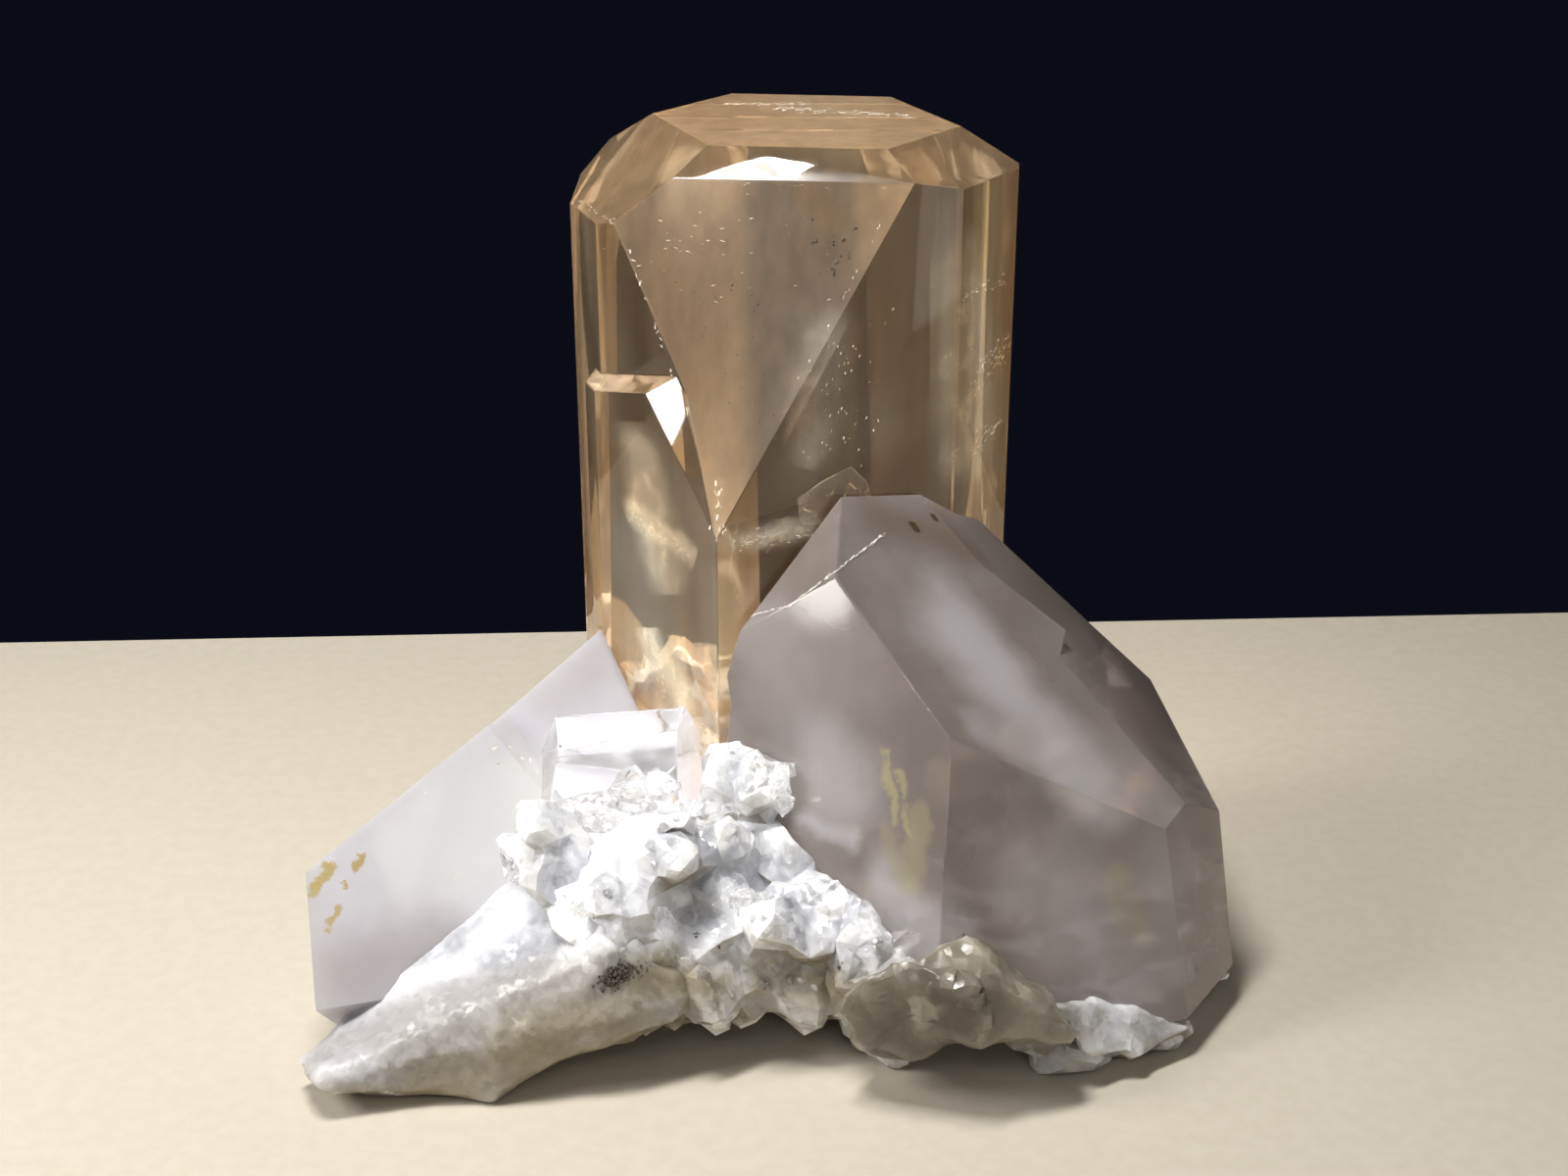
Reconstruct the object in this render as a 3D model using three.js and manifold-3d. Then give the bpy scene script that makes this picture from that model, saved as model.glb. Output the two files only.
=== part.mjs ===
// A topaz specimen: an upright champagne topaz prism, grown together with smoky, milky and clear
// quartz crystals in a white granular quartz matrix. Millimetres, +Z up, the front looks along -Y.
import * as THREE from 'three';
import { mergeVertices } from 'three/addons/utils/BufferGeometryUtils.js';
import Module from 'manifold-3d';

const wasm = await Module();
wasm.setup();

// Topaz: the lengths of its crystal axes, its turn about the upright axis, and its centre.
// Each face has its Miller indices and its distance from the centre.
const TOPAZ_AXES = { a: 0.5285, b: 1, c: 0.9539 };
const TOPAZ_TURN = -6.7;
const TOPAZ_CENTRE = [0.6, 15, 30];
const TOPAZ_FACES = [
  { index: [1, -2, 0], away: 9.25 },
  { index: [-1, -2, 0], away: 11.85 },
  { index: [1, -1, 0], away: 10.75 },
  { index: [-1, -1, 0], away: 12.8 },
  { index: [-1, 0, 0], away: 14.4 },
  { index: [1, 0, 0], away: 14.1 },
  { index: [-1, 1, 0], away: 14.4 },
  { index: [1, 1, 0], away: 15 },
  { index: [1, 2, 0], away: 14.2 },
  { index: [-1, 2, 0], away: 15 },
  { index: [0, 1, 0], away: 16.8 },
  { index: [0, -2, 1], away: 13.35 },
  { index: [0, -1, 1], away: 17.2 },
  { index: [-1, -1, 3], away: 20.3 },
  { index: [1, -1, 3], away: 20.9 },
  { index: [-1, 1, 3], away: 23.6 },
  { index: [1, 1, 3], away: 23.2 },
  { index: [0, 1, 1], away: 24.6 },
  { index: [0, 0, 1], away: 20.5 },
  { index: [0, 0, -1], away: 23 },
];

// The lower side crystal stands parallel on the main one's front left corner.
const SIDE_CRYSTAL_FACES = [
  { index: [1, -2, 0], away: 9.25 },
  { index: [-1, -2, 0], away: 13.2 },
  { index: [-1, -1, 0], away: 13.7 },
  { index: [-1, 1, 0], away: 8.85 },
  { index: [1, 2, 0], away: -8 },
  { index: [0, -2, 1], away: 13.35 },
  { index: [-1, -7, 3], away: 14.1 },
  { index: [-1, -1, 3], away: 12.3 },
  { index: [0, 0, -1], away: 20 },
];

// Quartz crystals: each face has the direction it looks in and a point that it passes through.
const SMOKY_CENTRE = [10, 0, 14];
const SMOKY_MAIN_FACES = [
  { out: [0.46, -0.35, 0.81], through: [9.7, -9, 20.4] },
  { out: [0.28, -0.9, 0.33], through: [9.7, -9, 20.4] },
  { out: [-0.53, -0.78, 0.335], through: [9.7, -9, 20.4] },
  { out: [-0.64, -0.25, 0.73], through: [-2.7, 1.1, 23.2] },
  { out: [0.66, -0.06, 0.75], through: [14.2, 4.3, 23.6] },
  { out: [0.81, -0.52, 0.28], through: [23.1, -8, 11.7] },
  { out: [0.97, 0.2, 0.02], through: [27.2, -1, 10] },
  { out: [0.45, 0.85, 0.3], through: [18, 16, 10] },
  { out: [-0.2, 0.95, -0.2], through: [8, 19, 10] },
  { out: [-0.9, 0.3, -0.3], through: [1.2, 6, 12] },
  { out: [-0.65, -0.35, -0.6], through: [10.5, -12.7, 9.5] },
  { out: [0.05, -0.05, -1], through: [18, -6, 2] },
];

// A second smoky individual widens the crystal at its left, in front of the topaz.
const SMOKY_SIDE_FACES = [
  { out: [0.46, -0.35, 0.81], through: [9.7, -9, 20.4] },
  { out: [0.28, -0.9, 0.33], through: [9.7, -9, 20.4] },
  { out: [-0.53, -0.78, 0.335], through: [9.7, -9, 20.4] },
  { out: [-0.64, -0.25, 0.73], through: [-2.7, 1.1, 23.2] },
  { out: [-0.95, 0.1, 0.1], through: [-3.3, -1, 18] },
  { out: [-0.58, -0.1, -0.81], through: [-0.8, -5.9, 12.8] },
  { out: [0.9, -0.1, -0.42], through: [10.5, -12.9, 9.6] },
  { out: [0.3, 0.95, 0], through: [6, 8, 18] },
];
const MILKY_CENTRE = [-18, 0, 7];
const MILKY_FRONT_FACES = [
  { out: [0.4, -0.7, 0.59], through: [-28.4, -9, 11.6] },
  { out: [-0.66, 0.33, 0.68], through: [-28.4, -9, 11.6] },
  { out: [-0.96, 0.05, -0.19], through: [-28.4, -9, 11.6] },
  { out: [0.3, -0.75, -0.6], through: [-27.5, -14.3, 5.6] },
  { out: [-0.6, 0.8, 0], through: [-24, 2, 3] },
  { out: [0.75, -0.05, 0.66], through: [-18.6, -0.5, 16.4] },
  { out: [0.3, -0.1, -0.95], through: [-26, -10, 2.5] },
];
const MILKY_BACK_FACES = [
  { out: [0.25, -0.72, 0.64], through: [-19.4, 2.5, 14.9] },
  { out: [-0.68, 0.33, 0.65], through: [-19.4, 2.5, 14.9] },
  { out: [-0.8, -0.45, 0.4], through: [-22, 3, 12] },
  { out: [-0.45, 0.88, 0.15], through: [-16, 15, 5] },
  { out: [0.9, 0.1, 0.1], through: [-8, 10, 12] },
  { out: [0.1, 0.1, -0.98], through: [-20, 6, 2.5] },
];
const CLEAR_CENTRE = [-10, -1, 15];
const CLEAR_FACES = [
  { out: [0.02, -0.85, 0.53], through: [-10, -4, 17.9] },
  { out: [0.05, -0.97, 0.2], through: [-10, -4.45, 17.05] },
  { out: [-0.12, -0.08, 0.98], through: [-10, -4, 17.9] },
  { out: [0, 0.8, 0.6], through: [-10, -0.8, 18.2] },
  { out: [-0.96, -0.15, 0.2], through: [-13.7, -4, 17.4] },
  { out: [0.96, -0.2, 0.1], through: [-6.5, -4, 18] },
  { out: [0.1, -0.3, -0.95], through: [-10, -5, 11] },
];

// Broken grain clusters of the matrix: the centre and half sizes of each one's core, the number
// and size of the grains around it, and its seed.
const CLUSTERS = [
  { at: [0, 12, 5], size: [20, 20, 8.5], grains: 7, grain: 4.5, seed: 11 },
  { at: [2, 27, 4.5], size: [16, 9, 8], grains: 10, grain: 3.2, seed: 12 },
  { at: [-18, 6, 2.5], size: [10, 13, 5], grains: 9, grain: 2.6, seed: 27 },
  { at: [-18.5, -13.4, 1.6], size: [5, 2.6, 2.6], grains: 4, grain: 1.4, seed: 28 },
  { at: [17, 2, 1.8], size: [11, 12, 3.6], grains: 6, grain: 2.6, seed: 22 },
  { at: [-6, -6, 7], size: [8, 6, 6], grains: 8, grain: 2.4, seed: 13 },
  { at: [4, -6, 6], size: [8, 6.5, 5], grains: 8, grain: 2.2, seed: 14 },
  { at: [-8, -8.5, 10.5], size: [4.4, 4, 4], grains: 7, grain: 1.7, seed: 15 },
  { at: [-14, -7.5, 11], size: [2.6, 2.6, 3.6], grains: 7, grain: 1.3, seed: 23 },
  { at: [2, -8.6, 8.3], size: [4.4, 3.6, 3.2], grains: 8, grain: 1.5, seed: 16 },
  { at: [-1.6, -3.6, 14.3], size: [2.6, 2.6, 3.2], grains: 8, grain: 1.3, seed: 17 },
  { at: [6.6, -10.6, 3.3], size: [3.4, 3, 3.7], grains: 4, grain: 1.5, seed: 18 },
  { at: [20, -10, 1.4], size: [4.6, 2, 1.6], grains: 6, grain: 1.2, seed: 26 },
  { at: [26, -4, 2.4], size: [2.2, 2, 2], grains: 4, grain: 1.2, seed: 20 },
];

// Rows of clusters from one end to the other: the tongue at the front left, and the rim under the
// smoky crystal's front edge, first beside the topaz and then down to the foot at the right, and
// the low rim across the front.
const ROWS = [
  { from: [-9, -9, 6.5], to: [-26.6, -14.2, 1.7], steps: 7, sizes: [5.2, 2.1], seed: 31 },
  { from: [-1.5, -5, 11], to: [7, -13, 6.6], steps: 5, sizes: [2.1, 2], seed: 41 },
  { from: [10, -12.4, 6.4], to: [17.5, -11.8, 1.6], steps: 3, sizes: [3, 1.8], seed: 51 },
  { from: [-9, -10.4, 5], to: [4, -10.6, 4.4], steps: 5, sizes: [2.2, 2.1], seed: 61 },
];
const ROW_GRAINS = 3;
const ROW_GRAIN_SHARE = 0.5;
const ROW_LENGTHEN = 1.2;
const ARCH = { at: [-4, -14, 0], size: [8, 6, 3.4], seed: 21 };
const CHUNK_DETAIL = 0;
const CHUNK_BREAKS = 6;
const BREAK_DEPTHS = [0.6, 0.9];
const GRAIN_SIZES = [0.6, 1.3];
const GRAIN_DEPTH = 0.85;

// The rough block that crystals are cut from, the gap between neighbours, the smallest step that
// is kept in a surface, how close points are one point, and the height of the flat underside.
const BLOCK_SIZE = 140;
const GAP = 0.3;
const SMALLEST_STEP = 0.12;
const SAME_POINT = 1e-5;
const FLOOR = 0;

// A repeatable row of random numbers: its multiplier, its range and how a seed starts it.
const RANDOM_STEP = 48271;
const RANDOM_RANGE = 2147483647;
const SEED_STEP = 7919;
const SEED_START = 17;

function seededRandom(seed) {
  let state = seed * SEED_STEP + SEED_START;
  return () => {
    state = (state * RANDOM_STEP) % RANDOM_RANGE;
    return state / RANDOM_RANGE;
  };
}

function toSolid(geometry) {
  geometry.deleteAttribute('normal');
  geometry.deleteAttribute('uv');
  const merged = mergeVertices(geometry, SAME_POINT);
  return new wasm.Manifold(new wasm.Mesh({
    numProp: 3,
    vertProperties: new Float32Array(merged.attributes.position.array),
    triVerts: new Uint32Array(merged.index.array),
  }));
}

function toMesh(name, solid, material) {
  const body = largestBody(solid.simplify(SMALLEST_STEP));
  const { vertProperties, triVerts } = body.getMesh();
  const geometry = new THREE.BufferGeometry();
  geometry.setAttribute('position', new THREE.BufferAttribute(vertProperties, 3));
  geometry.setIndex(new THREE.BufferAttribute(triVerts, 1));
  geometry.computeVertexNormals();
  const mesh = new THREE.Mesh(geometry, material);
  mesh.name = name;
  return mesh;
}

function largestBody(solid) {
  return solid.decompose().reduce((best, body) => (body.volume() > best.volume() ? body : best));
}

// Keeps the part of a solid behind a face that looks along "out" and passes through a point.
function cutByFace(solid, out, through) {
  const normal = out.clone().normalize();
  const inward = normal.clone().negate();
  return solid.trimByPlane(inward.toArray(), inward.dot(through));
}

// A crystal is a block cut by each of its faces in turn; "grow" moves every face outward.
function crystal(centre, faces, grow = 0) {
  const middle = new THREE.Vector3(...centre);
  const block = new THREE.BoxGeometry(BLOCK_SIZE, BLOCK_SIZE, BLOCK_SIZE);
  block.translate(middle.x, middle.y, middle.z);
  return faces.reduce((solid, { out, through }) => {
    const normal = new THREE.Vector3(...out).normalize();
    const point = new THREE.Vector3(...through).addScaledVector(normal, grow);
    return cutByFace(solid, normal, point);
  }, toSolid(block));
}

function topazFace({ index: [h, k, l], away }) {
  const normal = new THREE.Vector3(h / TOPAZ_AXES.a, k / TOPAZ_AXES.b, l / TOPAZ_AXES.c);
  normal.applyAxisAngle(new THREE.Vector3(0, 0, 1), THREE.MathUtils.degToRad(TOPAZ_TURN));
  normal.normalize();
  const through = new THREE.Vector3(...TOPAZ_CENTRE).addScaledVector(normal, away);
  return { out: normal.toArray(), through: through.toArray() };
}

function topaz(grow = 0) {
  const main = crystal(TOPAZ_CENTRE, TOPAZ_FACES.map(topazFace), grow);
  const side = crystal(TOPAZ_CENTRE, SIDE_CRYSTAL_FACES.map(topazFace), grow);
  return main.add(side);
}

function smokyQuartz(grow = 0) {
  const main = crystal(SMOKY_CENTRE, SMOKY_MAIN_FACES, grow);
  const side = crystal(SMOKY_CENTRE, SMOKY_SIDE_FACES, grow);
  return main.add(side);
}

function milkyQuartz(grow = 0) {
  const front = crystal(MILKY_CENTRE, MILKY_FRONT_FACES, grow);
  const back = crystal(MILKY_CENTRE, MILKY_BACK_FACES, grow);
  return front.add(back);
}

function between([low, high], share) {
  return low + (high - low) * share;
}

// A chunk is a ball, broken off flat in random directions and squeezed to its half sizes.
function chunk(at, size, random) {
  let solid = toSolid(new THREE.IcosahedronGeometry(1, CHUNK_DETAIL));
  for (let i = 0; i < CHUNK_BREAKS; i += 1) {
    const out = randomDirection(random);
    solid = cutByFace(solid, out, out.clone().multiplyScalar(between(BREAK_DEPTHS, random())));
  }
  return solid.scale(size).translate(at);
}

function randomDirection(random) {
  const up = 2 * random() - 1;
  const turn = 2 * Math.PI * random();
  const flat = Math.sqrt(1 - up * up);
  return new THREE.Vector3(flat * Math.cos(turn), flat * Math.sin(turn), up);
}

function cluster({ at, size, grains, grain, seed }) {
  const random = seededRandom(seed);
  const centre = new THREE.Vector3(...at);
  const surface = new THREE.Vector3(...size).multiplyScalar(GRAIN_DEPTH);
  let solid = chunk(at, size, random);
  for (let i = 0; i < grains; i += 1) {
    const place = randomDirection(random).multiply(surface).add(centre);
    const reach = [0, 1, 2].map(() => grain * between(GRAIN_SIZES, random()));
    solid = solid.add(chunk(place.toArray(), reach, random));
  }
  return solid;
}

function row({ from, to, steps, sizes, seed }) {
  const start = new THREE.Vector3(...from);
  const end = new THREE.Vector3(...to);
  const pieces = [];
  for (let i = 0; i <= steps; i += 1) {
    const reach = between(sizes, i / steps);
    pieces.push(cluster({
      at: start.clone().lerp(end, i / steps).toArray(),
      size: [reach * ROW_LENGTHEN, reach, reach],
      grains: ROW_GRAINS,
      grain: reach * ROW_GRAIN_SHARE,
      seed: seed + i,
    }));
  }
  return join(pieces);
}

function join(solids) {
  return solids.reduce((sum, solid) => sum.add(solid));
}

function matrix() {
  const mass = join([...CLUSTERS.map(cluster), ...ROWS.map(row)]);
  const arch = chunk(ARCH.at, ARCH.size, seededRandom(ARCH.seed));
  const down = new THREE.Vector3(0, 0, -1);
  return cutByFace(mass.subtract(arch), down, new THREE.Vector3(0, 0, FLOOR));
}

const materials = {
  topaz: new THREE.MeshStandardMaterial({ color: 0xb08c64, roughness: 0.12, metalness: 0 }),
  smoky: new THREE.MeshStandardMaterial({ color: 0x9c8f88, roughness: 0.2, metalness: 0 }),
  milky: new THREE.MeshStandardMaterial({ color: 0xcfcad2, roughness: 0.3, metalness: 0 }),
  clear: new THREE.MeshStandardMaterial({ color: 0xe4e2e4, roughness: 0.15, metalness: 0 }),
  matrix: new THREE.MeshStandardMaterial({ color: 0xe6e2d8, roughness: 0.6, metalness: 0 }),
};

const topazSolid = topaz();
const topazRoom = topaz(GAP);
const smokyRoom = smokyQuartz(GAP);
const milkyRoom = milkyQuartz(GAP);
const clearRoom = crystal(CLEAR_CENTRE, CLEAR_FACES, GAP);

const smokySolid = smokyQuartz().subtract(topazRoom);
const milkySolid = milkyQuartz().subtract(topazRoom).subtract(smokyRoom);
const clearSolid = crystal(CLEAR_CENTRE, CLEAR_FACES)
  .subtract(topazRoom)
  .subtract(smokyRoom)
  .subtract(milkyRoom);
const matrixSolid = matrix()
  .subtract(topazRoom)
  .subtract(smokyRoom)
  .subtract(milkyRoom)
  .subtract(clearRoom);

const specimen = new THREE.Group();
specimen.add(
  toMesh('topaz_crystal', topazSolid, materials.topaz),
  toMesh('smoky_quartz_crystal', smokySolid, materials.smoky),
  toMesh('milky_quartz_crystal', milkySolid, materials.milky),
  toMesh('clear_quartz_crystal', clearSolid, materials.clear),
  toMesh('quartz_matrix', matrixSolid, materials.matrix),
);

// The origin is the middle of the specimen's underside.
const extent = new THREE.Box3().setFromObject(specimen);
const middle = extent.getCenter(new THREE.Vector3());
specimen.position.set(-middle.x, -middle.y, -extent.min.z);

export default specimen;
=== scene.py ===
"""A champagne topaz grown together with quartz: the finished look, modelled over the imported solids."""
import math
import random

import bpy
from mathutils import Euler, Matrix, Vector


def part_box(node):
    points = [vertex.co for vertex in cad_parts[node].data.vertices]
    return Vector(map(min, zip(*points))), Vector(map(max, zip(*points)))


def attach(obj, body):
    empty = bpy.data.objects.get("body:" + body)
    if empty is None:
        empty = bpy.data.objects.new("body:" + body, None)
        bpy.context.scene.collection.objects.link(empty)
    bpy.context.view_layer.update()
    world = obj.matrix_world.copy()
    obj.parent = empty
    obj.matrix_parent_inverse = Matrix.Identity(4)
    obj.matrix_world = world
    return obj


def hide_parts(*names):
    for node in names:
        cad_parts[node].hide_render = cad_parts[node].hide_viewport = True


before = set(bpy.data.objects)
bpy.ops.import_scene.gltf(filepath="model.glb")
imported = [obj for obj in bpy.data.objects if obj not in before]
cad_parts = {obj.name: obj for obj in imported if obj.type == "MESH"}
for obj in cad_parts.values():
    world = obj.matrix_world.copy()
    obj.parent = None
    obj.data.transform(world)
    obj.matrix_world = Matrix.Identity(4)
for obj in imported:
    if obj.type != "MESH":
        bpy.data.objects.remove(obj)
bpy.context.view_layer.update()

MM = 0.001

# The photograph: its size and lens in pixels
PHOTO_WIDTH = 1600
PHOTO_HEIGHT = 1200
PHOTO_LENS = 2200
# Its camera: the sensor's width in mm, how far it looks down, and where it stands beside the topaz in mm
SENSOR = 36
CAMERA_DOWN = math.radians(23)
CAMERA_ACROSS = 13.73
CAMERA_BEFORE = 120.27
CAMERA_HEIGHT = 77.16
topaz_low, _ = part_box("topaz_crystal")
CAMERA_AT = topaz_low + Vector((CAMERA_ACROSS, -CAMERA_BEFORE, 0)) * MM
CAMERA_AT.z = CAMERA_HEIGHT * MM

# Corners of a solid that lie nearer than this in mm become one.
MERGE_GAP = 0.002
# Faces of a solid that differ by less than this in degrees become one.
FLAT_ANGLE = 0.6


# Hand work

def work_on(*objs):
    bpy.ops.object.select_all(action="DESELECT")
    for obj in objs:
        obj.select_set(True)
    bpy.context.view_layer.objects.active = objs[0]


def edit_all(obj):
    work_on(obj)
    bpy.ops.object.mode_set(mode="EDIT")
    bpy.ops.mesh.select_mode(type="FACE")
    bpy.ops.mesh.select_all(action="SELECT")


def edit_faces(obj, wanted):
    work_on(obj)
    bpy.ops.object.mode_set(mode="EDIT")
    bpy.ops.mesh.select_mode(type="FACE")
    bpy.ops.mesh.select_all(action="DESELECT")
    bpy.ops.object.mode_set(mode="OBJECT")
    for face in obj.data.polygons:
        face.select = wanted(face)
    bpy.ops.object.mode_set(mode="EDIT")


def done_editing():
    bpy.ops.object.mode_set(mode="OBJECT")


def apply_modifier(obj, kind, **settings):
    work_on(obj)
    modifier = obj.modifiers.new(kind.lower(), kind)
    for name, value in settings.items():
        setattr(modifier, name, value)
    bpy.ops.object.modifier_apply(modifier=modifier.name)


def throw_away(*objs):
    work_on(*objs)
    bpy.ops.object.delete()


def copy_of(obj, name):
    copy = bpy.data.objects.new(name, obj.data.copy())
    bpy.context.collection.objects.link(copy)
    return copy


def copy_of_solid(node, name):
    """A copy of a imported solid, its triangles joined to whole flat faces."""
    obj = copy_of(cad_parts[node], name)
    obj.data.materials.clear()
    edit_all(obj)
    bpy.ops.mesh.customdata_custom_splitnormals_clear()
    bpy.ops.mesh.remove_doubles(threshold=MERGE_GAP * MM)
    bpy.ops.mesh.dissolve_limited(angle_limit=math.radians(FLAT_ANGLE))
    done_editing()
    return obj


def ease_edges(obj, width, segments, angle=12):
    apply_modifier(
        obj, "BEVEL",
        width=width * MM,
        segments=segments,
        limit_method="ANGLE",
        angle_limit=math.radians(angle),
        use_clamp_overlap=True,
    )


def roughen(obj, kind, size, depth, middle=0.5, **settings):
    """Pushes the surface in and out by a noise of that grain size and depth."""
    relief = bpy.data.textures.new(obj.name + "_relief", kind)
    relief.noise_scale = size * MM
    for name, value in settings.items():
        setattr(relief, name, value)
    apply_modifier(
        obj, "DISPLACE",
        texture=relief,
        texture_coords="LOCAL",
        strength=depth * MM,
        mid_level=middle,
    )


def break_in_scoops(obj, size, depth):
    """Shell-shaped breaks side by side, with sharp ridges between them."""
    roughen(obj, "VORONOI", size, depth, middle=0.2, distance_metric="DISTANCE_SQUARED")


def stand_flat(obj):
    """Cuts off what reaches below the surface that the specimen stands on."""
    edit_all(obj)
    bpy.ops.mesh.bisect(plane_co=(0, 0, 0), plane_no=(0, 0, -1), use_fill=True, clear_outer=True)
    done_editing()


def smooth_by_angle(obj, angle):
    work_on(obj)
    bpy.ops.object.shade_smooth_by_angle(angle=math.radians(angle))


def let_light_through(*objs):
    for obj in objs:
        obj.visible_shadow = False


def dress(obj, material):
    obj.data.materials.clear()
    obj.data.materials.append(material)
    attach(obj, "root")


# Finding places by what the photograph shows

def sight(pixel):
    """The direction in which the photograph's camera sees a pixel."""
    forward = Vector((0, math.cos(CAMERA_DOWN), -math.sin(CAMERA_DOWN)))
    up = Vector((0, math.sin(CAMERA_DOWN), math.cos(CAMERA_DOWN)))
    across = (pixel[0] - PHOTO_WIDTH / 2) / PHOTO_LENS
    rise = (PHOTO_HEIGHT / 2 - pixel[1]) / PHOTO_LENS
    return (forward + Vector((across, 0, 0)) + up * rise).normalized()


def seen_on(obj, pixel):
    """The place and outward direction of the surface that shows at a pixel."""
    bpy.context.view_layer.update()
    hit, place, outward, _ = obj.ray_cast(CAMERA_AT, sight(pixel))
    if not hit:
        raise ValueError(f"{obj.name} doesn't show at {pixel}")
    return place, outward


# Shader work

# The sockets of a node that mixes colours
MIX_SHARE, MIX_FIRST, MIX_SECOND = 0, 6, 7
MIXED = 2


def put(tree, kind, inputs=None, **settings):
    """Adds a shader node; an input that is a socket is linked, any other is set."""
    made = tree.nodes.new("ShaderNode" + kind)
    for name, value in settings.items():
        setattr(made, name, value)
    for name, value in (inputs or {}).items():
        if isinstance(value, bpy.types.NodeSocket):
            tree.links.new(value, made.inputs[name])
        else:
            made.inputs[name].default_value = value
    return made


def sums(tree, operation, first, second):
    return put(tree, "Math", {0: first, 1: second}, operation=operation).outputs[0]


def blend_colours(tree, share, first, second, way="MIX"):
    parts = {MIX_SHARE: share, MIX_FIRST: first, MIX_SECOND: second}
    return put(tree, "Mix", parts, data_type="RGBA", blend_type=way).outputs[MIXED]


def effect(name, inputs, outputs):
    """An empty shader group with its sockets; returns the group and its inner ends."""
    group = bpy.data.node_groups.new(name, "ShaderNodeTree")
    for socket, kind in inputs.items():
        group.interface.new_socket(socket, in_out="INPUT", socket_type="NodeSocket" + kind)
    for socket, kind in outputs.items():
        group.interface.new_socket(socket, in_out="OUTPUT", socket_type="NodeSocket" + kind)
    return group, group.nodes.new("NodeGroupInput").outputs, group.nodes.new("NodeGroupOutput").inputs


def make_cloud():
    """Soft clouds: a share from 0 to 1 between two noise levels."""
    group, given, out = effect(
        "cloud",
        {"Position": "Vector", "Scale": "Float", "Detail": "Float", "Low": "Float", "High": "Float"},
        {"Share": "Float"},
    )
    noise = put(group, "TexNoise", {
        "Vector": given["Position"], "Scale": given["Scale"], "Detail": given["Detail"], "Roughness": 0.55,
    })
    share = put(group, "MapRange", {
        "Value": noise.outputs["Fac"], "From Min": given["Low"], "From Max": given["High"],
    }, interpolation_type="SMOOTHSTEP")
    group.links.new(share.outputs[0], out["Share"])
    return group


def make_ragged():
    """Places pushed about a little, so that what is drawn with them gets a ragged edge."""
    group, given, out = effect(
        "ragged", {"Position": "Vector", "Ragged": "Float", "Scale": "Float"}, {"Position": "Vector"},
    )
    noise = put(group, "TexNoise", {
        "Vector": given["Position"], "Scale": given["Scale"], "Detail": 4, "Roughness": 0.6,
    })
    middle = put(group, "VectorMath", {0: noise.outputs["Color"], 1: (0.5, 0.5, 0.5)}, operation="SUBTRACT")
    push = put(group, "VectorMath", {0: middle.outputs[0], "Scale": given["Ragged"]}, operation="SCALE")
    moved = put(group, "VectorMath", {0: given["Position"], 1: push.outputs[0]}, operation="ADD")
    group.links.new(moved.outputs[0], out["Position"])
    return group


def make_patch():
    """A patch around a line on the specimen, given by its middle and half of it."""
    group, given, out = effect(
        "patch",
        {
            "Position": "Vector", "Centre": "Vector", "Half Line": "Vector",
            "Reach": "Float", "Core": "Float",
        },
        {"Share": "Float"},
    )
    half = given["Half Line"]
    away = put(group, "VectorMath", {0: given["Position"], 1: given["Centre"]}, operation="SUBTRACT")
    along = put(group, "VectorMath", {0: away.outputs[0], 1: half}, operation="DOT_PRODUCT")
    square = put(group, "VectorMath", {0: half, 1: half}, operation="DOT_PRODUCT")
    share_along = sums(group, "DIVIDE", along.outputs["Value"], square.outputs["Value"])
    share_along = sums(group, "MAXIMUM", sums(group, "MINIMUM", share_along, 1), -1)
    foot = put(group, "VectorMath", {0: half, "Scale": share_along}, operation="SCALE")
    gap = put(group, "VectorMath", {0: away.outputs[0], 1: foot.outputs[0]}, operation="DISTANCE")
    core = sums(group, "MULTIPLY", given["Reach"], given["Core"])
    share = put(group, "MapRange", {
        "Value": gap.outputs["Value"], "From Min": given["Reach"], "From Max": core,
    }, interpolation_type="SMOOTHSTEP")
    group.links.new(share.outputs[0], out["Share"])
    return group


def make_facing():
    """The share of a surface that looks in a direction."""
    group, given, out = effect(
        "facing",
        {"Direction": "Vector", "Low": "Float", "High": "Float"},
        {"Share": "Float"},
    )
    normal = put(group, "NewGeometry").outputs["Normal"]
    towards = put(group, "VectorMath", {0: normal, 1: given["Direction"]}, operation="DOT_PRODUCT")
    share = put(group, "MapRange", {
        "Value": towards.outputs["Value"], "From Min": given["Low"], "From Max": given["High"],
    }, interpolation_type="SMOOTHSTEP")
    group.links.new(share.outputs[0], out["Share"])
    return group


def make_lines():
    """Growth lines: a noise drawn out along one direction."""
    group, given, out = effect(
        "growth_lines", {"Position": "Vector", "Stretch": "Vector", "Detail": "Float"}, {"Height": "Float"},
    )
    drawn = put(group, "VectorMath", {0: given["Position"], 1: given["Stretch"]}, operation="MULTIPLY")
    noise = put(group, "TexNoise", {
        "Vector": drawn.outputs[0], "Scale": 1, "Detail": given["Detail"], "Roughness": 0.5,
    })
    group.links.new(noise.outputs["Fac"], out["Height"])
    return group


def make_specks():
    """Small scattered specks, a few to a cluster."""
    group, given, out = effect(
        "specks",
        {"Position": "Vector", "Scale": "Float", "Size": "Float"},
        {"Share": "Float"},
    )
    cells = put(group, "TexVoronoi", {
        "Vector": given["Position"], "Scale": given["Scale"], "Randomness": 1,
    })
    thin = put(group, "TexNoise", {"Vector": given["Position"], "Scale": 260, "Detail": 2})
    size = put(group, "MapRange", {
        "Value": thin.outputs["Fac"], "From Min": 0.6, "From Max": 0.75, "To Max": given["Size"],
    })
    share = put(group, "Math", {0: cells.outputs["Distance"], 1: size.outputs[0]}, operation="LESS_THAN")
    group.links.new(share.outputs[0], out["Share"])
    return group


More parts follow.
